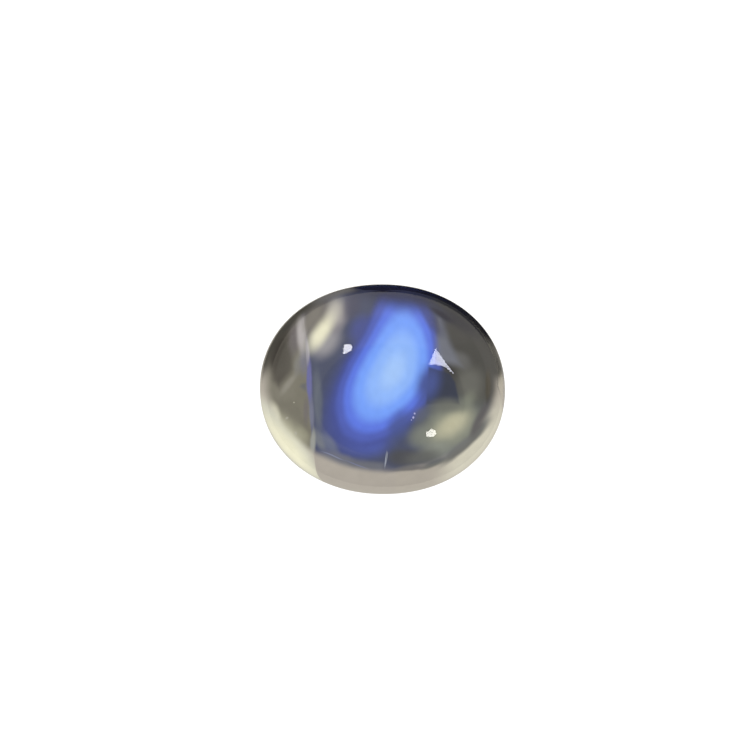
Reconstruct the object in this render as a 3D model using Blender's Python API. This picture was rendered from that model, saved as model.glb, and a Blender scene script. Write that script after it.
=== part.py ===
"""Polished oval moonstone cabochon: one solid, a high dome over a belly that slopes in to a small flat spot.

Run with: blender --background --python part.py
Metres, +Z up. The origin is on the flat spot's level, under the middle of the oval. +X is the oval's long axis.
"""

import math

import bmesh
import bpy

MILLIMETRE = 0.001

# Oval at the girdle, the stone's widest level. A power of 2 is a true ellipse, and more is squarer.
GIRDLE_LENGTH = 10.55 * MILLIMETRE
GIRDLE_WIDTH = 9.04 * MILLIMETRE
GIRDLE_POWER = 2.09

# Dome, from the girdle up to the apex
DOME_HEIGHT = 3.45 * MILLIMETRE
DOME_POWER = 2.10

# Belly, from the girdle down to the flat spot. A power of 1 is a straight slope, and more is rounder.
BELLY_DEPTH = 0.98 * MILLIMETRE
BELLY_POWER = 1.20

# Flat spot, cut by hand: an ellipse a little off the middle and turned a little
FLAT_LENGTH = 7.56 * MILLIMETRE
FLAT_WIDTH = 5.18 * MILLIMETRE
FLAT_SHIFT_X = -0.17 * MILLIMETRE
FLAT_SHIFT_Y = 0.22 * MILLIMETRE
FLAT_TURN = math.radians(-5.4)

# Fineness of the facets
AROUND = 80
DOME_LEVELS = 20
BELLY_LEVELS = 7

# Finish of the polished stone
BODY_COLOUR = (0.24, 0.27, 0.36, 1.0)
ROUGHNESS = 0.05
METALLIC = 0.0
TRANSMISSION = 0.8
REFRACTIVE_INDEX = 1.52


def clear_scene():
    """Remove every object, so that the file always starts from nothing."""
    for item in list(bpy.data.objects):
        bpy.data.objects.remove(item, do_unlink=True)


def girdle_radius(angle):
    """Distance from the middle to the girdle's oval in the direction of angle."""
    along = abs(math.cos(angle)) / (GIRDLE_LENGTH / 2)
    across = abs(math.sin(angle)) / (GIRDLE_WIDTH / 2)
    return (along**GIRDLE_POWER + across**GIRDLE_POWER) ** (-1 / GIRDLE_POWER)


def flat_radius(angle):
    """Distance from the flat spot's own middle to its edge in the direction of angle."""
    along = math.cos(angle - FLAT_TURN) / (FLAT_LENGTH / 2)
    across = math.sin(angle - FLAT_TURN) / (FLAT_WIDTH / 2)
    return (along**2 + across**2) ** -0.5


def dome_ring(share):
    """Points of one level of the dome. share runs from 0 at the girdle towards 1 at the apex."""
    turn = share * math.pi / 2
    spread = math.cos(turn) ** (2 / DOME_POWER)
    height = BELLY_DEPTH + DOME_HEIGHT * math.sin(turn) ** (2 / DOME_POWER)
    ring = []
    for step in range(AROUND):
        angle = step * math.tau / AROUND
        radius = spread * girdle_radius(angle)
        ring.append((radius * math.cos(angle), radius * math.sin(angle), height))
    return ring


def belly_ring(share):
    """Points of one level of the belly. share runs from 0 at the girdle to 1 at the flat spot's edge."""
    turn = share * math.pi / 2
    spread = math.cos(turn) ** (2 / BELLY_POWER)
    height = BELLY_DEPTH * (1 - math.sin(turn) ** (2 / BELLY_POWER))
    ring = []
    for step in range(AROUND):
        angle = step * math.tau / AROUND
        radius = spread * girdle_radius(angle) + (1 - spread) * flat_radius(angle)
        x = radius * math.cos(angle) + (1 - spread) * FLAT_SHIFT_X
        y = radius * math.sin(angle) + (1 - spread) * FLAT_SHIFT_Y
        ring.append((x, y, height))
    return ring


def add_ring(mesh, points):
    """Join new vertices into a closed loop and return the loop's vertices and edges."""
    vertices = [mesh.verts.new(point) for point in points]
    edges = []
    for step, vertex in enumerate(vertices):
        edges.append(mesh.edges.new((vertex, vertices[(step + 1) % len(vertices)])))
    return vertices, edges


def build_stone():
    """Stack the levels from the flat spot up to the apex and bridge each to the next."""
    levels = []
    for step in range(BELLY_LEVELS, 0, -1):
        levels.append(belly_ring(step / BELLY_LEVELS))
    for step in range(DOME_LEVELS):
        levels.append(dome_ring(step / DOME_LEVELS))

    mesh = bmesh.new()
    rings = [add_ring(mesh, points) for points in levels]
    for below, above in zip(rings, rings[1:]):
        bmesh.ops.bridge_loops(mesh, edges=below[1] + above[1])

    mesh.faces.new(rings[0][0])
    apex = mesh.verts.new((0.0, 0.0, BELLY_DEPTH + DOME_HEIGHT))
    top = rings[-1][0]
    for step, vertex in enumerate(top):
        mesh.faces.new((vertex, top[(step + 1) % AROUND], apex))
    bmesh.ops.recalc_face_normals(mesh, faces=mesh.faces)

    data = bpy.data.meshes.new("moonstone")
    mesh.to_mesh(data)
    mesh.free()
    data.shade_smooth()
    data.set_sharp_from_angle(angle=math.radians(30))
    stone = bpy.data.objects.new("moonstone", data)
    bpy.context.scene.collection.objects.link(stone)
    return stone


def polished_feldspar():
    """Clear smoky blue-grey stone with a hand polish."""
    material = bpy.data.materials.new("polished feldspar")
    material.use_nodes = True
    shader = material.node_tree.nodes["Principled BSDF"]
    shader.inputs["Base Color"].default_value = BODY_COLOUR
    shader.inputs["Roughness"].default_value = ROUGHNESS
    shader.inputs["Metallic"].default_value = METALLIC
    shader.inputs["Transmission Weight"].default_value = TRANSMISSION
    shader.inputs["IOR"].default_value = REFRACTIVE_INDEX
    return material


clear_scene()
moonstone = build_stone()
moonstone.data.materials.append(polished_feldspar())
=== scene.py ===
"""Looks of a polished oval moonstone cabochon: clear stone and cleavage, with a glowing lens inside
painted with its blue sheen, reflections and shade.
"""

import logging
import math
from dataclasses import dataclass
from enum import Enum

import bpy
import numpy as np
from mathutils import Matrix, Vector


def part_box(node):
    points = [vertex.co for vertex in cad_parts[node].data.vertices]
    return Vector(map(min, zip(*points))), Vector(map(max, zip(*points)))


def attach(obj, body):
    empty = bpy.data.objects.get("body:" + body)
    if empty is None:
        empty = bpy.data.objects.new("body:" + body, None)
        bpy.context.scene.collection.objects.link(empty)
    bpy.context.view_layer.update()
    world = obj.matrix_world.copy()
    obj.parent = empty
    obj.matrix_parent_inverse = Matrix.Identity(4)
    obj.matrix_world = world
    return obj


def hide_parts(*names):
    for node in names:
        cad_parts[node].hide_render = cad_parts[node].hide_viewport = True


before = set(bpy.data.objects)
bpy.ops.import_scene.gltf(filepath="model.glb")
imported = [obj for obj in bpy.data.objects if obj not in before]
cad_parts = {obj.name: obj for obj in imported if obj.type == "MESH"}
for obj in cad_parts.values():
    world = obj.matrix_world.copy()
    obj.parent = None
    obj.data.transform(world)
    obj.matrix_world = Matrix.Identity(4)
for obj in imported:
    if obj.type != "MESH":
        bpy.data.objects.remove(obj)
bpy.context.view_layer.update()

MM = 0.001
BODY = "root"
Colour = tuple[int, int, int]
Span = tuple[float, float]
Point = tuple[float, float]
Place = tuple[float, float, float]
Socket = bpy.types.NodeSocket
log = logging.getLogger("moonstone")


def light_of(colour: Colour) -> tuple[float, float, float, float]:
    """Turn a display colour, each part from 0 to 255, into the linear light that shaders use.

    Each part c is first taken as a share of 255, then goes by the display's standard curve:
    ((c + 0.055) / 1.055) to the power 2.4, or c / 12.92 where it is very dark.

    Args:
        colour: Red, green and blue.

    Returns:
        Linear red, green and blue, and an alpha of 1.
    """
    share = np.array(colour) / 255.0
    linear = np.where(share > 0.04045, ((share + 0.055) / 1.055) ** 2.4, share / 12.92)
    return (float(linear[0]), float(linear[1]), float(linear[2]), 1.0)


def grid_piece(
    name: str, points: np.ndarray, closed_round: bool = False, poles: bool = False
) -> bpy.types.Object:
    """Make an object from a grid of points, worked out as whole arrays.

    Row i and column j of the grid is vertex i * columns + j, and each cell is one four-sided face.
    With poles, the first and the last row are each one point. The vertices between them are then
    numbered on from the first, and triangles close both ends.

    Args:
        name: Name of the piece.
        points: Array of shape (rows, columns, 3), in metres.
        closed_round: True if the last column joins the first.
        poles: True if the first and last rows are single points.

    Returns:
        The new object, at the origin, with smooth shading.
    """
    rows, columns, _ = points.shape
    index = np.arange(rows * columns).reshape(rows, columns)
    ahead = np.roll(index, -1, axis=1)
    if not closed_round:
        index, ahead = index[:, :-1], ahead[:, :-1]
    cells = np.stack([index[:-1], ahead[:-1], ahead[1:], index[1:]], axis=-1)
    vertices = points.reshape(-1, 3)
    faces = cells.reshape(-1, 4).tolist()
    if poles:
        vertices = np.vstack([points[0, :1], vertices[columns:-columns], points[-1, :1]])
        first_ring = np.arange(columns) + 1
        last_ring = first_ring + (rows - 3) * columns
        bottom = np.stack([0 * first_ring, np.roll(first_ring, -1), first_ring], axis=-1)
        top = np.stack([last_ring, np.roll(last_ring, -1), 0 * last_ring + len(vertices) - 1], axis=-1)
        middle = cells[1:-1].reshape(-1, 4) - columns + 1
        faces = middle.tolist() + bottom.tolist() + top.tolist()
    mesh = bpy.data.meshes.new(name)
    mesh.from_pydata(vertices.tolist(), [], faces)
    mesh.shade_smooth()
    piece = bpy.data.objects.new(name, mesh)
    bpy.context.scene.collection.objects.link(piece)
    return piece


def settle(piece: bpy.types.Object, material: bpy.types.Material) -> None:
    """Give a piece of the stone its material and body, and report it.

    Args:
        piece: The finished piece.
        material: Its material.
    """
    piece.data.materials.append(material)
    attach(piece, BODY)
    log.info("built %s with %d faces", piece.name, len(piece.data.polygons))


def heading(azimuth: float, elevation: float) -> np.ndarray:
    """Unit vector towards an azimuth, turned from +Y to +X, and an elevation, in degrees."""
    a, e = np.radians(azimuth), np.radians(elevation)
    return np.stack([np.sin(a) * np.cos(e), np.cos(a) * np.cos(e), np.sin(e)], axis=-1)


class Edge(Enum):
    """How a ramp gets from one end to the other."""

    SOFT = "SMOOTHERSTEP"
    EVEN = "LINEAR"


class Painter:
    """Adds nodes to one material or world."""

    # Sockets of a Mix node that carry a share and colours. Their names repeat, so they go by number.
    MIX_SHARE = 0
    MIX_UNDER = 6
    MIX_OVER = 7
    MIX_RESULT = 2

    def __init__(self, tree: bpy.types.NodeTree) -> None:
        """Start from an empty tree.

        Args:
            tree: The node tree to fill.
        """
        self.tree = tree
        tree.nodes.clear()

    def node(self, kind: str, **settings: object) -> bpy.types.Node:
        """Add a node and set its properties.

        Args:
            kind: Blender's name of the node type.
            settings: Properties of the node.

        Returns:
            The new node.
        """
        node = self.tree.nodes.new(kind)
        for name, value in settings.items():
            setattr(node, name, value)
        return node

    def feed(self, node: bpy.types.Node, socket: int | str, value: object) -> None:
        """Link a socket to an input, or set the input's own value.

        Args:
            node: The node that receives.
            socket: Name or number of its input.
            value: An output socket, or a plain value.
        """
        if isinstance(value, Socket):
            self.tree.links.new(value, node.inputs[socket])
        else:
            node.inputs[socket].default_value = value

    def maths(self, operation: str, *values: object) -> Socket:
        """Combine numbers.

        Args:
            operation: Blender's name of the sum.
            values: Sockets or numbers.

        Returns:
            The result.
        """
        node = self.node("ShaderNodeMath", operation=operation)
        for place, value in enumerate(values):
            self.feed(node, place, value)
        return node.outputs[0]

    def vector(self, operation: str, *values: object) -> bpy.types.Node:
        """Combine vectors.

        Args:
            operation: Blender's name of the sum.
            values: Sockets or triples.

        Returns:
            The node, whose outputs are Vector and Value.
        """
        node = self.node("ShaderNodeVectorMath", operation=operation)
        for place, value in enumerate(values):
            self.feed(node, place, value)
        return node

    def ramp(self, value: object, low: float, high: float, edge: Edge = Edge.SOFT) -> Socket:
        """Map a number to 0 at low and 1 at high.

        Args:
            value: The number.
            low: Where the result is 0.
            high: Where the result is 1.
            edge: How it gets from one to the other.

        Returns:
            The mapped number.
        """
        node = self.node("ShaderNodeMapRange", interpolation_type=edge.value)
        self.feed(node, "Value", value)
        self.feed(node, "From Min", low)
        self.feed(node, "From Max", high)
        return node.outputs[0]

    def blend(self, share: object, under: object, over: object) -> Socket:
        """Lay one colour over another by a share.

        Args:
            share: How much of the upper colour shows.
            under: Colour below.
            over: Colour above.

        Returns:
            The mixed colour.
        """
        node = self.node("ShaderNodeMix", data_type="RGBA")
        self.feed(node, self.MIX_SHARE, share)
        self.feed(node, self.MIX_UNDER, under)
        self.feed(node, self.MIX_OVER, over)
        return node.outputs[self.MIX_RESULT]

    def place(self) -> Socket:
        """Object coordinates of the piece."""
        return self.node("ShaderNodeTexCoord").outputs["Object"]

    def turned(self, place: Socket, at: Point, turn: float, size: Place) -> Socket:
        """Read places from a patch's own middle, turned and measured in its own sizes.

        Args:
            place: Coordinates, in metres.
            at: Middle of the patch, in millimetres.
            turn: Turn of the patch, in degrees anticlockwise.
            size: What counts as 1 along, across and up, in metres.

        Returns:
            The patch's own coordinates.
        """
        mapping = self.node("ShaderNodeMapping", vector_type="TEXTURE")
        self.feed(mapping, "Vector", place)
        self.feed(mapping, "Location", (at[0] * MM, at[1] * MM, 0.0))
        self.feed(mapping, "Rotation", (0.0, 0.0, math.radians(turn)))
        self.feed(mapping, "Scale", size)
        return mapping.outputs[0]

    def grain(self, place: Socket, size: float, detail: float = 3.0) -> bpy.types.Node:
        """Add a noise.

        Args:
            place: Where it is read.
            size: Size of its waves, in metres.
            detail: How many finer waves lie on them.

        Returns:
            The noise, whose outputs run from 0 to 1.
        """
        noise = self.node("ShaderNodeTexNoise")
        self.feed(noise, "Vector", place)
        self.feed(noise, "Scale", 1.0 / size)
        self.feed(noise, "Detail", detail)
        return noise

    def stirred(self, place: Socket, size: float, reach: float) -> Socket:
        """Shift places by a gentle noise, so that no patch has a ruled edge.

        The noise runs from 0 to 1, so a half is taken off, and the rest is doubled to reach -1 to 1.

        Args:
            place: Coordinates to shift.
            size: Size of the waves, in metres.
            reach: Largest shift, in metres.

        Returns:
            The shifted coordinates.
        """
        centred = self.vector("SUBTRACT", self.grain(place, size).outputs["Color"], (0.5, 0.5, 0.5))
        scaled = self.vector("SCALE", centred.outputs[0])
        self.feed(scaled, "Scale", 2.0 * reach)
        return self.vector("ADD", place, scaled.outputs[0]).outputs[0]


@dataclass(frozen=True)
class Bloom:
    """One oval patch of colour inside the stone, seen from above.

    Places and half sizes are in millimetres from the stone's axis, and turn is in degrees anticlockwise.
    fade is the share of the radius over which the patch thins out to nothing.
    """

    at: Point
    half: Point
    turn: float
    colour: Colour
    strength: float = 1.0
    fade: float = 1.0
    tall: float = 1000.0

    def share(self, paint: Painter, place: Socket) -> Socket:
        """Share of the patch at each place: the distance from its middle, over its radius there, ramped.

        The patch's half height, tall, is far beyond the stone's, so that height makes no difference.

        Args:
            paint: Where the nodes go.
            place: Coordinates, in metres.

        Returns:
            The share, from 0 outside to the strength inside.
        """
        size = (self.half[0] * MM, self.half[1] * MM, self.tall)
        own_place = paint.turned(place, self.at, self.turn, size)
        radius = paint.vector("LENGTH", own_place).outputs["Value"]
        return paint.maths("MULTIPLY", paint.ramp(radius, 1.0, 1.0 - self.fade), self.strength)

    def paint(self, paint: Painter, place: Socket, under: object) -> Socket:
        """Lay the patch over a colour."""
        return paint.blend(self.share(paint, place), under, light_of(self.colour))


@dataclass(frozen=True)
class Facet:
    """One straight-edged patch of colour inside the stone, such as a cleavage face, seen from above.

    The corners are in millimetres from the stone's axis, anticlockwise, and none points inwards. soft is
    the width, in millimetres, over which the patch comes up from its edges.
    """

    corners: tuple[Point, ...]
    colour: Colour
    strength: float = 1.0
    soft: float = 0.15

    def share(self, paint: Painter, place: Socket) -> Socket:
        """Share of the patch at each place: the least distance inside any edge, ramped.

        Args:
            paint: Where the nodes go.
            place: Coordinates, in metres.

        Returns:
            The share, from 0 outside to the strength inside.
        """
        far_inside = 1.0
        least: object = far_inside
        for start, end in zip(self.corners, self.corners[1:] + self.corners[:1]):
            length = math.dist(start, end)
            inward = ((start[1] - end[1]) / length, (end[0] - start[0]) / length, 0.0)
            offset = (inward[0] * start[0] + inward[1] * start[1]) * MM
            along = paint.vector("DOT_PRODUCT", place, inward).outputs["Value"]
            least = paint.maths("MINIMUM", paint.maths("SUBTRACT", along, offset), least)
        return paint.maths("MULTIPLY", paint.ramp(least, 0.0, self.soft * MM), self.strength)

    def paint(self, paint: Painter, place: Socket, under: object) -> Socket:
        """Lay the patch over a colour."""
        return paint.blend(self.share(paint, place), under, light_of(self.colour))


@dataclass(frozen=True)
class Sheen:
    """Painted blue sheen: an oval of glow colour that runs through stops from its rim to its middle,
    seen from above.

    Places and half sizes are in millimetres from the stone's axis, and turn is in degrees anticlockwise.
    At a distance d along the oval, its long axis lies d * d * (bend + curl * d) to the side.
    """

    at: Point
    half: Point
    turn: float
    bend: float
    curl: float
    stops: tuple[tuple[float, Colour], ...]
    fade: float = 0.25
    roundness: float = 0.75

    def paint(self, paint: Painter, place: Socket, under: object) -> Socket:
        """Lay the sheen over a colour.

        The stop is picked by 1 - s ** roundness, where s is the squared distance from the middle,
        counted in half sizes.

        Args:
            paint: Where the nodes go.
            place: Coordinates, in metres.
            under: The colour below.

        Returns:
            The mixed colour.
        """
        own_place = paint.turned(place, self.at, self.turn, (MM, MM, MM))
        split = paint.node("ShaderNodeSeparateXYZ")
        paint.feed(split, 0, own_place)
        ahead = split.outputs[0]
        bend = paint.maths("MULTIPLY_ADD", ahead, self.curl, self.bend)
        aside = paint.maths("MULTIPLY", paint.maths("MULTIPLY", ahead, ahead), bend)
        across = paint.maths("DIVIDE", paint.maths("SUBTRACT", split.outputs[1], aside), self.half[1])
        along = paint.maths("DIVIDE", ahead, self.half[0])
        along_squared = paint.maths("MULTIPLY", along, along)
        squares = paint.maths("MULTIPLY_ADD", across, across, along_squared)
        nearness = paint.maths("SUBTRACT", 1.0, paint.maths("POWER", squares, self.roundness))
        stops = paint.node("ShaderNodeValToRGB")
        paint.feed(stops, 0, nearness)
        band = stops.color_ramp
        band.interpolation = "EASE"
        # new stops start in the middle and get their own places below
        middle = 0.5
        while len(band.elements) < len(self.stops):
            band.elements.new(middle)
        for element, (position, colour) in zip(band.elements, self.stops):
            element.position = position
            element.color = light_of(colour)
        return paint.blend(paint.ramp(nearness, 0.0, self.fade), under, stops.outputs[0])


Patch = Bloom | Facet | Sheen


@dataclass(frozen=True)
class Panel:
    """One soft-edged panel of the studio, by the direction in which the stone sees it, in degrees.

    The soft edges lie outside the half sizes.
    """

    azimuth: float
    elevation: float
    half_azimuth: float
    half_elevation: float
    colour: Colour
    soft: float = 5.0
    soft_elevation: float = 3.0


@dataclass(frozen=True)
class Cabochon:
    """Shape of the cut stone: a dome over a belly that slopes in to a flat spot.

    The sizes of the whole stone come from the frame. The others repeat the cut's own values.
    """

    length: float
    width: float
    height: float
    girdle_level: float = 0.98 * MM
    oval_power: float = 2.09
    dome_power: float = 2.10
    belly_power: float = 1.20
    flat_length: float = 7.56 * MM
    flat_width: float = 5.18 * MM
    flat_shift: Point = (-0.17 * MM, 0.22 * MM)
    flat_turn: float = math.radians(-5.4)
    around: int = 256
    flat_rows: int = 10
    belly_rows: int = 30
    dome_rows: int = 60

    def angles(self) -> np.ndarray:
        """Directions of the columns, all the way round."""
        return np.linspace(0.0, math.tau, self.around, endpoint=False)

    def oval_radius(self, angle: np.ndarray) -> np.ndarray:
        """Distance from the axis to the girdle.

        For an angle a it is (|cos a / half length|^n + |sin a / half width|^n)^(-1/n).

        Args:
            angle: Direction round the axis.

        Returns:
            The distance, in metres.
        """
        along = np.abs(np.cos(angle)) / (self.length / 2)
        across = np.abs(np.sin(angle)) / (self.width / 2)
        return (along**self.oval_power + across**self.oval_power) ** (-1 / self.oval_power)

    def flat_radius(self, angle: np.ndarray) -> np.ndarray:
        """Distance from the flat spot's middle to its edge, an ellipse turned by flat_turn.

        Args:
            angle: Direction round the flat spot's middle.

        Returns:
            The distance, in metres.
        """
        along = np.cos(angle - self.flat_turn) / (self.flat_length / 2)
        across = np.sin(angle - self.flat_turn) / (self.flat_width / 2)
        return (along**2 + across**2) ** -0.5

    def dome(self, spread: np.ndarray, angle: np.ndarray) -> np.ndarray:
        """Points of the dome at a share of the girdle's radius.

        The height above the girdle is the dome's height times (1 - spread^p)^(1/p).

        Args:
            spread: Share of the girdle's radius, 1 at the girdle and 0 at the apex.
            angle: Direction round the axis.

        Returns:
            Array of points, the last axis being x, y, z.
        """
        radius = spread * self.oval_radius(angle)
        rise = (self.height - self.girdle_level) * (1 - spread**self.dome_power) ** (1 / self.dome_power)
        level = self.girdle_level + rise
        return np.stack([radius * np.cos(angle), radius * np.sin(angle), level + 0 * radius], axis=-1)

    def belly(self, spread: np.ndarray, angle: np.ndarray, lift: float = 0.0) -> np.ndarray:
        """Points of the belly, where spread blends from the flat spot's edge (0) to the girdle (1).

        The depth under the girdle is the belly's depth times (1 - spread^m)^(1/m).

        Args:
            spread: Blend between the flat spot's edge and the girdle.
            angle: Direction round the axis.
            lift: Height of the points over the belly itself.

        Returns:
            Array of points, the last axis being x, y, z.
        """
        radius = spread * self.oval_radius(angle) + (1 - spread) * self.flat_radius(angle)
        drop = self.girdle_level * (1 - spread**self.belly_power) ** (1 / self.belly_power)
        x = radius * np.cos(angle) + (1 - spread) * self.flat_shift[0]
        y = radius * np.sin(angle) + (1 - spread) * self.flat_shift[1]
        return np.stack([x, y, self.girdle_level - drop + lift + 0 * radius], axis=-1)

    def flat(self, share: np.ndarray, angle: np.ndarray, lift: float = 0.0) -> np.ndarray:
        """Points of the flat spot: its middle plus a share of its radius.

        Args:
            share: Share of the radius, 0 at the middle and 1 at the edge.
            angle: Direction round the flat spot's middle.
            lift: Height of the points over the flat spot.

        Returns:
            Array of points, the last axis being x, y, z.
        """
        radius = share * self.flat_radius(angle)
        x = radius * np.cos(angle) + self.flat_shift[0]
        y = radius * np.sin(angle) + self.flat_shift[1]
        return np.stack([x, y, lift + 0 * radius], axis=-1)

    def skin(self) -> bpy.types.Object:
        """Build the whole closed surface, row by row from the flat spot's middle up to the apex.

        Rows are spaced by an angle t from 0 to a quarter turn, with spread = cos(t)^(2/power), so that
        they crowd where the profile bends most. The clip keeps rounding from taking cos(t) below 0.

        Returns:
            The stone's surface.
        """
        angle = self.angles()[None, :]
        flat_share = np.linspace(0, 1, self.flat_rows, endpoint=False)[:, None]
        belly_turn = np.linspace(math.pi / 2, 0, self.belly_rows, endpoint=False)[:, None]
        dome_turn = np.linspace(0, math.pi / 2, self.dome_rows)[:, None]
        rows = [
            self.flat(flat_share, angle),
            self.belly(np.cos(belly_turn) ** (2 / self.belly_power), angle),
            self.dome(np.clip(np.cos(dome_turn), 0, 1) ** (2 / self.dome_power), angle),
        ]
        return grid_piece("stone", np.concatenate(rows), closed_round=True, poles=True)


@dataclass(frozen=True)
class ClearFeldspar:
    """Polished see-through stone: plain transmission, refraction and a faint warm absorption."""

    refractive_index: float = 1.52
    roughness: float = 0.0
    tint: Colour = (226, 220, 206)
    density: float = 40.0

    def material(self) -> bpy.types.Material:
        """Build the material.

        Returns:
            The material.
        """
        material = bpy.data.materials.new("clear_feldspar")
        material.use_nodes = True
        paint = Painter(material.node_tree)
        shader = paint.node("ShaderNodeBsdfPrincipled")
        shader.inputs["Base Color"].default_value = (1.0, 1.0, 1.0, 1.0)
        shader.inputs["Roughness"].default_value = self.roughness
        shader.inputs["IOR"].default_value = self.refractive_index
        shader.inputs["Transmission Weight"].default_value = 1.0
        volume = paint.node("ShaderNodeVolumeAbsorption")
        volume.inputs["Color"].default_value = light_of(self.tint)
        volume.inputs["Density"].default_value = self.density
        output = paint.node("ShaderNodeOutputMaterial")
        paint.feed(output, "Surface", shader.outputs[0])
        paint.feed(output, "Volume", volume.outputs[0])
        return material


@dataclass(frozen=True)
class PaintedGlow:
    """Painted glow inside the stone, as patches over a ground colour: emission that stands in for the
    sheen, reflections and shade seen there.

    Where a border is given, the patches show inside it, and those of the margin outside it. Without a
    veil the glow is dense. With one, it shows only where the veil's patches lie, white for dense and
    black for clear, and a wispy noise thins it by up to the share wisps.

    wave and wander are the size and the reach of the noise that stirs the patches. grain and mottle are
    the size and the strength of the fine noise on their glow. A noise runs from 0 to 1, and its range is
    the part of that which is spread over the whole.
    """

    name: str
    ground: Colour
    patches: tuple[Patch, ...] = ()
    border: Bloom | None = None
    margin_ground: Colour = (0, 0, 0)
    margin: tuple[Patch, ...] = ()
    veil: tuple[Patch, ...] = ()
    wave: float = 1.1 * MM
    wander: float = 0.06 * MM
    grain: float = 0.35 * MM
    grain_detail: float = 4.0
    grain_range: Span = (0.25, 0.75)
    mottle: float = 0.08
    gain: float = 1.07
    wisps: float = 0.0
    wisp_size: float = 0.5 * MM
    wisp_detail: float = 5.0
    wisp_range: Span = (0.35, 0.65)

    @staticmethod
    def coat(paint: Painter, place: Socket, ground: Colour, patches: tuple[Patch, ...]) -> object:
        """Lay patches of colour over a ground, in order.

        Args:
            paint: Where the nodes go.
            place: Coordinates, in metres.
            ground: The colour underneath.
            patches: The patches, from the lowest up.

        Returns:
            The painted colour.
        """
        colour: object = light_of(ground)
        for patch in patches:
            colour = patch.paint(paint, place, colour)
        return colour

    def material(self) -> bpy.types.Material:
        """Build the material: the patches, stirred a little and mottled by a fine noise.

        The glow's strength is the gain times a factor from 1 - mottle / 2 to 1 + mottle / 2.

        Returns:
            The material.
        """
        material = bpy.data.materials.new(self.name)
        material.use_nodes = True
        paint = Painter(material.node_tree)
        place = paint.place()
        stirred = paint.stirred(place, self.wave, self.wander)
        colour = self.coat(paint, stirred, self.ground, self.patches)
        if self.border:
            around = self.coat(paint, stirred, self.margin_ground, self.margin)
            colour = paint.blend(self.border.share(paint, stirred), around, colour)
        fine = paint.grain(place, self.grain, self.grain_detail).outputs[0]
        fine = paint.ramp(fine, *self.grain_range, Edge.EVEN)
        glow = paint.node("ShaderNodeEmission")
        paint.feed(glow, "Color", colour)
        weakest = self.gain * (1.0 - self.mottle / 2)
        paint.feed(glow, "Strength", paint.maths("MULTIPLY_ADD", fine, self.gain * self.mottle, weakest))
        shader = glow.outputs[0]
        if self.veil:
            cover = self.coat(paint, stirred, (0, 0, 0), self.veil)
            wisp = paint.grain(place, self.wisp_size, self.wisp_detail).outputs[0]
            wisp = paint.ramp(wisp, *self.wisp_range)
            thin = paint.maths("MULTIPLY_ADD", wisp, self.wisps, 1.0 - self.wisps)
            mix = paint.node("ShaderNodeMixShader")
            paint.feed(mix, 0, paint.maths("MULTIPLY", cover, thin))
            paint.feed(mix, 1, paint.node("ShaderNodeBsdfTransparent").outputs[0])
            paint.feed(mix, 2, shader)
            shader = mix.outputs[0]
        paint.feed(paint.node("ShaderNodeOutputMaterial"), "Surface", shader)
        return material


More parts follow.
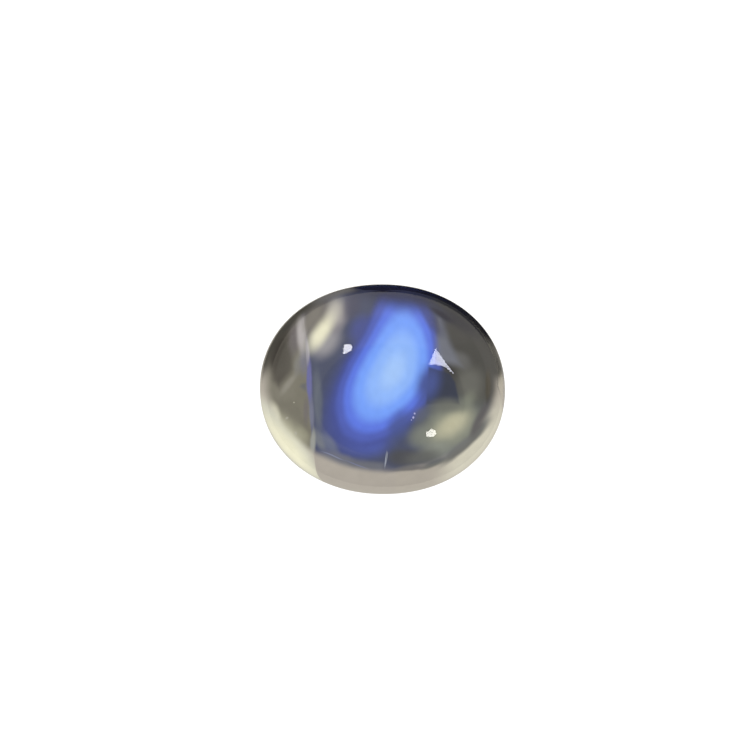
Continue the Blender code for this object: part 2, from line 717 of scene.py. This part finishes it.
@dataclass
class Depths:
    """A thin glowing lens low in the stone, over the flat spot and up the belly's slope.

    Its glow is painted light and shade: painted shade of the stone's dark body, the painted blue sheen,
    painted reflections, and the pale ring of painted light near the rim.

    rim says how far up the slope the lens goes: directions in degrees, and shares of the way to the
    girdle. It is high along the left and the lower side, where the painted pale ring is, and low along the
    upper side, where the stone's dark rim is clear.
    """

    shape: Cabochon
    lift: float = 0.03 * MM
    thickness: float = 0.02 * MM
    rows: int = 24
    slope_rows: int = 16
    rim: tuple[Point, ...] = (
        (-180, 0.95),
        (-30, 0.95),
        (-8, 0.30),
        (0, 0.20),
        (10, 0.26),
        (24, 0.31),
        (38, 0.315),
        (52, 0.29),
        (70, 0.235),
        (85, 0.16),
        (98, 0.16),
        (112, 0.30),
        (160, 0.35),
        (172, 0.60),
        (180, 0.95),
    )
    paint: PaintedGlow = PaintedGlow(
        name="painted_light_depths",
        # ground: painted shade of the stone's dark body
        ground=(79, 84, 106),
        patches=(
            # grey right end
            Bloom((3.5, 1.3), (2.1, 2.6), 0, (74, 73, 71), 1.0, 0.5),
            Bloom((3.05, 0.25), (0.75, 0.9), 0, (104, 104, 99), 0.9, 0.9),
            Bloom((2.75, 1.0), (0.6, 0.4), -30, (104, 104, 104), 0.8, 0.9),
            # olive patch at the lower right, and painted shade along its outer side
            Bloom((2.45, -1.1), (1.95, 1.3), 20, (116, 120, 110), 1.0, 0.9),
            Bloom((1.45, -1.5), (0.9, 0.6), 10, (128, 132, 123), 0.85, 0.95),
            Bloom((2.45, -1.15), (1.45, 0.95), 32, (152, 154, 138), 1.0, 0.95),
            Bloom((2.46, -1.1), (1.1, 0.5), 32, (190, 187, 160), 0.95, 1.0),
            Bloom((1.9, -1.9), (0.9, 0.4), 15, (142, 146, 136), 0.8, 0.9),
            Bloom((3.0, -0.35), (0.6, 0.35), 60, (128, 132, 118), 0.6, 1.0),
            Bloom((3.35, -1.0), (1.1, 0.24), 64, (98, 95, 96), 0.9, 0.8),
            Bloom((2.7, -1.85), (0.9, 0.26), 40, (118, 119, 118), 0.9, 0.8),
            Bloom((3.65, 0.2), (0.75, 0.14), 88, (76, 71, 62), 0.9, 0.8),
            # grey-violet painted reflection haze at the upper left
            Bloom((-2.2, 2.25), (1.3, 0.8), 55, (110, 106, 104), 1.0, 0.7),
            Bloom((-1.95, 1.6), (0.95, 0.62), 45, (156, 154, 158), 0.95, 0.9),
            Bloom((-1.45, 2.35), (0.9, 0.42), 60, (146, 142, 146), 0.9, 0.9),
            Bloom((-1.0, 2.7), (0.7, 0.5), 60, (82, 81, 98), 0.7, 0.9),
            # dim blue painted sheen round the main sheen, wider at its left and low end
            Bloom((-0.45, 0.1), (3.3, 1.65), 60, (76, 86, 150), 1.0, 0.55),
            Bloom((-0.7, 2.0), (0.8, 0.6), 40, (80, 88, 150), 0.8, 0.9),
            Bloom((-0.5, -1.65), (1.25, 0.75), 0, (84, 98, 176), 0.9, 0.95),
            # lower edge: blue-grey strip, dark stretch and paler right part
            Bloom((-2.2, -1.6), (0.6, 0.25), -60, (128, 132, 136), 0.8, 0.9),
            Bloom((-1.85, -1.75), (0.8, 0.28), -50, (112, 118, 136), 0.75, 0.9),
            Bloom((-1.5, -2.2), (1.1, 0.3), -18, (114, 116, 130), 0.9, 0.8),
            Bloom((-0.4, -2.45), (1.2, 0.25), -3, (104, 105, 116), 0.9, 0.8),
            Bloom((0.75, -2.15), (0.9, 0.4), 0, (82, 83, 88), 1.0, 0.8),
            Bloom((1.45, -2.12), (1.05, 0.42), 10, (100, 101, 98), 0.85, 0.9),
            Bloom((1.2, -2.5), (1.3, 0.25), 5, (118, 116, 114), 0.9, 0.8),
            # painted blue sheen
            Sheen(
                at=(0.4, 0.62),
                half=(3.1, 1.75),
                turn=58,
                bend=0.085,
                curl=0.02,
                stops=(
                    (0.0, (75, 83, 138)),
                    (0.12, (77, 87, 152)),
                    (0.28, (86, 101, 184)),
                    (0.42, (98, 124, 228)),
                    (0.62, (122, 164, 254)),
                    (0.82, (146, 186, 255)),
                    (1.0, (166, 202, 255)),
                ),
            ),
            # painted reflections and shade beside the sheen: a grey haze, a dark mirrored shape, and painted
            # shade inside the upper edge
            Facet(((1.66, 0.72), (3.05, 0.66), (2.2, 2.5), (1.85, 2.5)), (116, 119, 130), 0.9, 0.4),
            Facet(
                ((1.52, -0.55), (2.78, -0.5), (2.62, 0.3), (2.42, 0.62), (1.6, 0.86)),
                (64, 68, 82),
                0.95,
                0.13,
            ),
            Bloom((1.64, 0.2), (0.68, 1.05), -16, (79, 91, 148), 0.95, 0.95),
            Bloom((2.3, -0.52), (1.0, 0.42), 4, (112, 114, 107), 0.85, 1.0),
            Bloom((1.35, -0.8), (0.5, 0.35), 30, (98, 103, 124), 0.7, 0.9),
            Bloom((0.6, -1.15), (0.9, 0.6), 50, (80, 92, 148), 0.75, 0.9),
            Bloom((0.9, 3.35), (3.4, 1.1), -8, (48, 50, 72), 0.95, 0.7),
            Bloom((2.7, 2.4), (1.7, 0.55), -38, (50, 50, 58), 0.9, 0.8),
            Bloom((2.15, 2.42), (0.75, 0.16), -32, (42, 41, 54), 0.9, 0.9),
            Bloom((1.87, 2.15), (0.8, 0.3), -50, (70, 72, 98), 0.6, 0.9),
            # left of the cleavage: olive ground, painted brown shade, pale and blue-grey strips, and a cream
            # corner of painted light
            Facet(((-6, -4), (-2.38, -4), (-2.5, 0.6), (-2.75, 4), (-6, 4)), (122, 119, 107), 1.0, 0.08),
            Facet(
                ((-3.85, 0.3), (-3.5, -0.12), (-2.9, 0.7), (-2.75, 2.6), (-4.2, 2.6)),
                (78, 74, 68),
                1.0,
                0.35,
            ),
            Bloom((-3.42, 1.3), (0.95, 0.36), 80, (62, 58, 53), 0.9, 0.9),
            Bloom((-3.2, 0.27), (0.7, 0.16), 55, (140, 137, 127), 0.85, 0.9),
            Bloom((-2.92, 1.7), (0.85, 0.3), 78, (98, 92, 95), 0.9, 0.9),
            Bloom((-2.9, 0.85), (0.5, 0.22), 80, (122, 121, 119), 0.8, 0.9),
            Bloom((-2.7, 1.0), (0.75, 0.24), 88, (120, 120, 132), 0.9, 0.9),
            Bloom((-3.86, 0.8), (1.0, 0.16), 78, (98, 95, 86), 0.8, 0.9),
            Bloom((-3.1, 2.15), (0.75, 0.2), 44, (52, 52, 52), 0.9, 0.8),
            Facet(
                ((-2.98, 0.14), (-2.8, -0.04), (-2.5, -0.22), (-2.5, 0.4), (-2.82, 0.34)),
                (96, 99, 107),
                0.8,
                0.24,
            ),
            Bloom((-2.65, -0.65), (0.65, 0.16), 88, (112, 107, 108), 0.8, 0.9),
            Bloom((-2.75, -1.35), (0.5, 0.22), -55, (142, 140, 122), 0.8, 0.9),
            Bloom((-3.6, -1.7), (1.7, 1.15), -52, (236, 234, 204), 0.9, 0.9),
            Bloom((-3.65, -0.7), (0.6, 0.25), -75, (226, 223, 200), 0.8, 0.9),
            # grey foot of the cleavage, then its line of painted reflection: violet in the middle, pale at
            # both ends
            Facet(((-2.4, -4), (0.15, -4), (0.15, -2.2), (-2.4, -1.85)), (112, 114, 122), 0.8, 0.3),
            Bloom((-2.26, -0.3), (1.6, 0.24), 92, (103, 109, 121), 0.9, 0.9),
            Bloom((-2.53, 0.35), (1.1, 0.13), 91, (107, 108, 160), 1.0, 0.7),
            Bloom((-2.47, -0.75), (0.8, 0.12), 91, (118, 121, 142), 0.9, 0.8),
            Bloom((-2.43, -1.65), (0.6, 0.15), 88, (158, 160, 154), 0.95, 0.8),
            Bloom((-2.7, 1.85), (0.95, 0.24), 84, (176, 171, 171), 1.0, 0.9),
            Bloom((-2.57, 1.3), (0.6, 0.1), 88, (158, 155, 168), 0.9, 0.8),
            Bloom((-2.3, 2.35), (0.75, 0.26), 52, (122, 118, 111), 0.9, 0.8),
            # cream streak at the upper left: a painted inner reflection
            Bloom((-1.6, 2.5), (0.75, 0.42), 60, (186, 182, 174), 0.95, 1.0),
            Bloom((-2.08, 1.88), (1.12, 0.4), 54, (236, 233, 205), 1.0, 1.0),
            # hair cracks and small chips, painted as bright glints where they catch the light
            Bloom((0.1, -2.2), (0.36, 0.028), 82, (156, 162, 176), 1.0, 0.7),
            Bloom((-1.75, -2.08), (0.6, 0.03), -20, (140, 146, 172), 0.7, 0.8),
            Bloom((-0.9, -2.37), (0.6, 0.025), -20, (128, 134, 170), 0.6, 0.8),
            Bloom((-3.05, -0.35), (0.04, 0.035), 0, (168, 166, 150), 1.0, 0.7),
            Bloom((-3.28, -0.85), (0.08, 0.05), 40, (168, 166, 152), 0.9, 0.7),
            Bloom((-3.0, -1.32), (0.06, 0.09), 20, (176, 174, 158), 0.9, 0.7),
        ),
        border=Bloom((0.03, 0.3), (4.1, 3.02), 0, (255, 255, 255), 1.0, 0.1),
        # beige ground of the pale ring round the lens: painted light
        margin_ground=(177, 170, 159),
        margin=(
            # painted light of the pale ring at the lower right, and painted shade of the dark upper side
            Bloom((3.6, -1.9), (2.7, 1.5), 48, (214, 210, 192), 1.0, 0.7),
            Bloom((1.2, 4.0), (6.2, 3.2), -6, (44, 46, 60), 1.0, 0.25),
            Bloom((3.6, 2.1), (2.4, 1.6), -45, (54, 54, 54), 1.0, 0.3),
            Bloom((-3.5, 2.5), (2.7, 1.5), 55, (82, 79, 72), 1.0, 0.4),
            Bloom((-1.6, 3.3), (1.4, 0.75), 20, (124, 122, 120), 0.9, 0.7),
            # painted light: cream ring left of the cleavage, and beige ring right of it
            Bloom((-4.4, -2.2), (2.9, 2.1), -52, (212, 211, 194), 1.0, 0.3),
            Bloom((-3.4, -1.9), (2.4, 0.75), -52, (242, 239, 210), 1.0, 0.9),
            Facet(((-2.42, -6), (0.5, -6), (0.5, -1.2), (-2.42, -1.2)), (176, 169, 159), 1.0, 0.05),
            # shade along the ring's inner side at the lower right
            Bloom((2.9, -1.6), (1.5, 0.28), 42, (116, 116, 112), 1.0, 0.6),
            Bloom((1.85, -2.28), (0.78, 0.17), 22, (116, 117, 112), 1.0, 0.8),
            Bloom((0.95, -2.47), (1.05, 0.13), 5, (112, 110, 109), 0.9, 0.8),
        ),
    )

    def build(self) -> None:
        """Build the lens and dress it.

        The lower face follows the stone at a small lift, out to the rim. The upper face is the same,
        raised by thickness * (1 - s^2)^(1/2), where s runs from 0 at the middle to 1 at the rim, row by
        row. The lens doesn't light the floor.
        """
        angle = self.shape.angles()[None, :]
        share = np.linspace(0, 1, self.rows, endpoint=False)[:, None]
        degrees = np.degrees((angle + math.pi) % math.tau - math.pi)
        directions, reaches = np.array(self.rim, float).T
        spread = np.linspace(0, 1, self.slope_rows)[:, None] * np.interp(degrees, directions, reaches)
        inner = self.shape.flat(share, angle, self.lift)
        outer = self.shape.belly(spread, angle, self.lift)
        under = np.concatenate([inner, outer])
        along = np.linspace(0, 1, len(under))[:-1, None]
        over = under[:-1].copy()
        over[..., 2] += self.thickness * np.sqrt(1 - along**2)
        lens = grid_piece("depths", np.concatenate([under, over[::-1]]), closed_round=True, poles=True)
        settle(lens, self.paint.material())
        lens.visible_diffuse = False


@dataclass
class Leaf:
    """Crack or cleavage plane in the stone: a thin closed leaf between a foot line and a crest line,
    whose glow is painted light.

    Each line is a parabola through three places in millimetres, from one end to the other.
    """

    name: str
    foot: tuple[Place, ...]
    crest: tuple[Place, ...]
    paint: PaintedGlow
    thickness: float = 0.012 * MM
    taper_power: int = 6
    columns: int = 96
    around: int = 32

    @staticmethod
    def line(points: tuple[Place, ...], share: np.ndarray) -> np.ndarray:
        """Places along the parabola through three points.

        Args:
            points: The points, in millimetres, evenly spread from 0 at the first to 1 at the last.
            share: Where to read the line.

        Returns:
            Array of places in metres.
        """
        parabola = 2
        knots = np.linspace(0, 1, len(points))
        parts = [np.polyval(np.polyfit(knots, part, parabola), share) for part in np.array(points, float).T]
        return np.stack(parts, axis=-1) * MM

    def build(self) -> None:
        """Build the leaf and dress it.

        At each column it is a flat oval, the middle of foot and crest + half the way between them *
        cos t + half the thickness across * sin t, for t all the way round. At a share s of the length
        the oval is (1 - (2 * s - 1)^taper_power)^(1/2) of its size, so that both ends close.
        """
        along = np.linspace(0, 1, self.columns)
        turn = np.linspace(0, math.tau, self.around, endpoint=False)
        foot, crest = self.line(self.foot, along), self.line(self.crest, along)
        taper = np.sqrt(np.clip(1 - (2 * along - 1) ** self.taper_power, 0, 1))[:, None, None]
        middle, half = (foot + crest) / 2, (crest - foot) / 2
        through = np.cross(np.gradient(middle, axis=0), half)
        through *= self.thickness / 2 / np.linalg.norm(through, axis=1, keepdims=True)
        rise = half[:, None] * np.cos(turn)[None, :, None] + through[:, None] * np.sin(turn)[None, :, None]
        points = middle[:, None] + taper * rise
        settle(grid_piece(self.name, points, closed_round=True, poles=True), self.paint.material())


# the cleavage plane is real, and its veil's glow is painted reflection, pale at the top
CLEAVAGE = Leaf(
    name="cleavage",
    foot=((-2.36, -2.1, 0.1), (-2.49, 0.1, 0.06), (-2.66, 2.4, 0.1)),
    crest=((-2.62, -2.3, 0.9), (-2.9, 0.1, 1.6), (-3.05, 2.6, 1.3)),
    paint=PaintedGlow(
        name="cleavage_veil",
        ground=(118, 118, 140),
        patches=(
            Bloom((-2.8, 2.2), (1.5, 1.2), 90, (186, 180, 180), 1.0, 0.8),
            Bloom((-2.6, -1.8), (1.0, 1.0), 90, (156, 157, 150), 1.0, 0.8),
        ),
        veil=(
            Bloom((-2.7, 0.2), (2.5, 2.0), 90, (120, 120, 120), 1.0, 0.4),
            Bloom((-2.75, 2.0), (1.0, 1.2), 90, (190, 190, 190), 1.0, 0.8),
        ),
        wisps=0.85,
    ),
)
# the crack is real, and its glow is a painted glint
CRACK = Leaf(
    name="crack",
    foot=((0.16, -1.95, 0.06), (0.12, -2.2, 0.06), (0.06, -2.45, 0.1)),
    crest=((0.16, -2.0, 0.16), (0.125, -2.25, 0.24), (0.06, -2.5, 0.2)),
    paint=PaintedGlow(name="crack_glint", ground=(146, 150, 160), mottle=0.3),
)


@dataclass
class Glints:
    """Pin-sized bubbles, as small balls low in the stone, whose glow is a painted glint.

    places holds x, y, z and the radius of each, in millimetres.
    """

    places: tuple[tuple[float, float, float, float], ...] = (
        (1.09, -0.93, 0.2, 0.036),
        (1.14, -0.80, 0.2, 0.032),
        (1.02, -1.02, 0.25, 0.018),
    )
    rows: int = 10
    columns: int = 14
    paint: PaintedGlow = PaintedGlow(name="bubble_glint", ground=(176, 176, 220), mottle=0.2)

    def build(self) -> None:
        """Build each ball and dress it.

        A ball of radius 1 is (sin f * cos t, sin f * sin t, cos f), for f from 0 at the top to a half
        turn at the bottom, and t all the way round.
        """
        fall = np.linspace(0, math.pi, self.rows)[:, None]
        turn = np.linspace(0, math.tau, self.columns, endpoint=False)[None, :]
        level = np.cos(fall) + 0 * turn
        ball = np.stack([np.sin(fall) * np.cos(turn), np.sin(fall) * np.sin(turn), level], axis=-1)
        material = self.paint.material()
        for number, (x, y, z, radius) in enumerate(self.places, start=1):
            points = (ball[::-1] * radius + (x, y, z)) * MM
            settle(grid_piece(f"bubble_{number}", points, closed_round=True, poles=True), material)


@dataclass
class Studio:
    """Pale floor, soft light, window panes and the camera.

    The camera leans by lean from straight above, towards -Y turned anticlockwise by azimuth. It aims at
    the girdle's middle, moved in the picture by aim_right and aim_up. The hood is a dark round part of
    the sky, placed in degrees, and its edge lies between two angles from its middle.
    """

    lean: float = math.radians(10.85)
    azimuth: float = math.radians(-39.0)
    distance: float = 134.0 * MM
    lens: float = 150.0
    near_clip: float = 5 * MM
    far_clip: float = 10.0
    aim_right: float = -0.327 * MM
    aim_up: float = 0.610 * MM
    girdle_level: float = Cabochon.girdle_level
    floor_half: float = 1.5
    floor_lines: int = 5
    floor_drop: float = 0.01 * MM
    floor_shade: float = 0.95
    floor_roughness: float = 0.9
    soft_light: float = 1.3
    pane_distance: float = 0.5
    horizon_soft: float = 1.0
    ground: Colour = (182, 177, 164)
    haze: Colour = (155, 152, 134)
    hood_azimuth: float = 155.0
    hood_elevation: float = 72.0
    hood_edge: Span = (49.0, 53.0)
    hood_colour: Colour = (14, 14, 18)
    panels: tuple[Panel, ...] = (
        # ground: dark on the far side, which the upper rim mirrors, and on the near side
        Panel(-6, -45, 56, 18, (22, 22, 28), 14.0),
        Panel(180, -20, 84, 20, (26, 26, 34), 10.0),
        # horizon: cream on the far side, dark on the near side
        Panel(-20, 6, 66, 12, (194, 188, 176), 16.0, 12.0),
        Panel(-56, 6, 12, 12, (238, 235, 218), 14.0, 12.0),
        Panel(180, 6, 80, 13, (20, 20, 30), 8.0, 10.0),
        Panel(176, 8, 14, 10, (26, 26, 46), 14.0, 8.0),
    )

    def camera(self) -> None:
        """Place the camera over the stone, with the stone's long axis level in the picture."""
        back = Vector(
            (
                math.sin(self.azimuth) * math.sin(self.lean),
                -math.cos(self.azimuth) * math.sin(self.lean),
                math.cos(self.lean),
            )
        )
        right = Vector((1.0, 0.0, 0.0))
        right = (right - back * right.dot(back)).normalized()
        up = back.cross(right)
        target = Vector((0.0, 0.0, self.girdle_level)) + right * self.aim_right + up * self.aim_up
        data = bpy.data.cameras.new("camera")
        data.lens = self.lens
        data.clip_start = self.near_clip
        data.clip_end = self.far_clip
        camera = bpy.data.objects.new("camera", data)
        turn = Matrix((right, up, back)).transposed().to_4x4()
        camera.matrix_world = Matrix.Translation(target + back * self.distance) @ turn
        bpy.context.scene.collection.objects.link(camera)
        bpy.context.scene.camera = camera

    def floor(self) -> None:
        """Lay a flat pale floor, which the clear stone neither mirrors nor shows through itself."""
        line = np.linspace(-self.floor_half, self.floor_half, self.floor_lines)
        x, y = np.meshgrid(line, line)
        floor = grid_piece("floor", np.stack([x, y, 0 * x - self.floor_drop], axis=-1))
        material = bpy.data.materials.new("pale_floor")
        material.use_nodes = True
        shader = material.node_tree.nodes["Principled BSDF"]
        shade = self.floor_shade
        shader.inputs["Base Color"].default_value = (shade, shade, shade, 1.0)
        shader.inputs["Roughness"].default_value = self.floor_roughness
        floor.data.materials.append(material)
        floor.visible_glossy = False
        floor.visible_transmission = False
        log.info("laid the floor")

    def pane(self, name: str, corners: tuple[Point, ...], colour: Colour, gain: float) -> None:
        """Hang a bright pane where the dome mirrors it.

        Its corners lie at one distance from the stone, in the given directions, and a fan from their
        middle fills it.

        Args:
            name: Name of the pane.
            corners: Azimuth and elevation of each corner, in degrees.
            colour: Colour of its light.
            gain: Strength of its light.
        """
        around = np.array(corners, float)
        rim = self.pane_distance * heading(around[:, 0], around[:, 1])
        rows = np.stack([rim, np.repeat(rim.mean(axis=0)[None], len(rim), axis=0)])
        pane = grid_piece(name, rows, closed_round=True)
        material = bpy.data.materials.new(name)
        material.use_nodes = True
        paint = Painter(material.node_tree)
        glow = paint.node("ShaderNodeEmission")
        paint.feed(glow, "Color", light_of(colour))
        paint.feed(glow, "Strength", gain)
        paint.feed(paint.node("ShaderNodeOutputMaterial"), "Surface", glow.outputs[0])
        pane.data.materials.append(material)
        pane.visible_camera = False
        pane.visible_diffuse = False
        pane.visible_transmission = False
        pane.visible_shadow = False
        log.info("hung the pane %s", name)

    def panes(self) -> None:
        """Hang the three bright panes: a small window, a three-cornered one and a lamp."""
        corners = ((-29, 48), (-23.5, 51), (-25, 54), (-27.5, 56), (-33, 56), (-38, 55.5), (-33.5, 51.5))
        self.pane("window", corners, (250, 250, 255), 16.0)
        outer_side = ((46, 43), (51, 44), (58, 44.6), (65.5, 44.1), (76, 41.3))
        inner_sides = ((67.8, 45.9), (63.2, 49.5), (59.8, 53), (57, 56.5), (51, 50))
        self.pane("tall_window", outer_side + inner_sides, (226, 228, 246), 13.5)
        corners = ((142, 43), (136, 43), (135, 39), (136, 36), (140, 34.5), (144.5, 38.5))
        self.pane("lamp", corners, (255, 252, 246), 14.0)

    def world(self) -> None:
        """Light the floor evenly from all round, and give the clear stone a studio to mirror and show.

        Azimuth and elevation are worked out from each direction. Every panel and the hood are laid over
        the ground and the haze in turn, and only mirrored and refracted rays see them.
        """
        world = bpy.data.worlds.new("studio")
        bpy.context.scene.world = world
        world.use_nodes = True
        paint = Painter(world.node_tree)
        way = paint.node("ShaderNodeTexCoord").outputs["Generated"]
        split = paint.node("ShaderNodeSeparateXYZ")
        paint.feed(split, 0, way)
        radian = math.degrees(1)
        half_turn = 180.0
        azimuth = paint.maths("MULTIPLY", paint.maths("ARCTAN2", split.outputs[0], split.outputs[1]), radian)
        elevation = paint.maths("MULTIPLY", paint.maths("ARCSINE", split.outputs[2]), radian)
        rays = paint.node("ShaderNodeLightPath")
        horizon = paint.ramp(elevation, -self.horizon_soft, self.horizon_soft)
        sky = paint.blend(horizon, light_of(self.ground), light_of(self.haze))
        for panel in self.panels:
            aside = paint.maths("SUBTRACT", azimuth, panel.azimuth)
            aside = paint.maths("ABSOLUTE", paint.maths("WRAP", aside, half_turn, -half_turn))
            across = paint.ramp(aside, panel.half_azimuth + panel.soft, panel.half_azimuth)
            above = paint.maths("ABSOLUTE", paint.maths("SUBTRACT", elevation, panel.elevation))
            along = paint.ramp(above, panel.half_elevation + panel.soft_elevation, panel.half_elevation)
            sky = paint.blend(paint.maths("MULTIPLY", across, along), sky, light_of(panel.colour))
        hood = tuple(float(part) for part in heading(self.hood_azimuth, self.hood_elevation))
        near = paint.vector("DOT_PRODUCT", way, hood).outputs["Value"]
        inner, outer = (math.cos(math.radians(angle)) for angle in self.hood_edge)
        sky = paint.blend(paint.ramp(near, outer, inner), sky, light_of(self.hood_colour))
        mirrored = paint.node("ShaderNodeBackground")
        paint.feed(mirrored, "Color", sky)
        soft = paint.node("ShaderNodeBackground")
        paint.feed(soft, "Color", (1.0, 1.0, 1.0, 1.0))
        paint.feed(soft, "Strength", self.soft_light)
        share = paint.maths("MAXIMUM", rays.outputs["Is Glossy Ray"], rays.outputs["Is Transmission Ray"])
        mix = paint.node("ShaderNodeMixShader")
        paint.feed(mix, 0, share)
        paint.feed(mix, 1, soft.outputs[0])
        paint.feed(mix, 2, mirrored.outputs[0])
        paint.feed(paint.node("ShaderNodeOutputWorld"), "Surface", mix.outputs[0])

    def settings(self) -> None:
        """Show colours as they are, and let rays pass the clear stone often, without specks of light."""
        scene = bpy.context.scene
        scene.view_settings.view_transform = "Standard"
        scene.cycles.caustics_refractive = False
        scene.cycles.caustics_reflective = False
        scene.cycles.transparent_max_bounces = 32
        scene.cycles.max_bounces = 24
        scene.cycles.transmission_bounces = 24
        scene.cycles.glossy_bounces = 16


def main() -> None:
    """Build the stone and the studio in order."""
    logging.basicConfig(level=logging.INFO, format="%(name)s: %(message)s")
    low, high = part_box("moonstone")
    shape = Cabochon(length=high.x - low.x, width=high.y - low.y, height=high.z - low.z)
    stone = shape.skin()
    settle(stone, ClearFeldspar().material())
    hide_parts("moonstone")
    stone.visible_shadow = False
    stone.visible_diffuse = False
    Depths(shape).build()
    CLEAVAGE.build()
    CRACK.build()
    Glints().build()

    studio = Studio()
    studio.camera()
    studio.floor()
    studio.panes()
    studio.world()
    studio.settings()


if __name__ == "__main__":
    main()
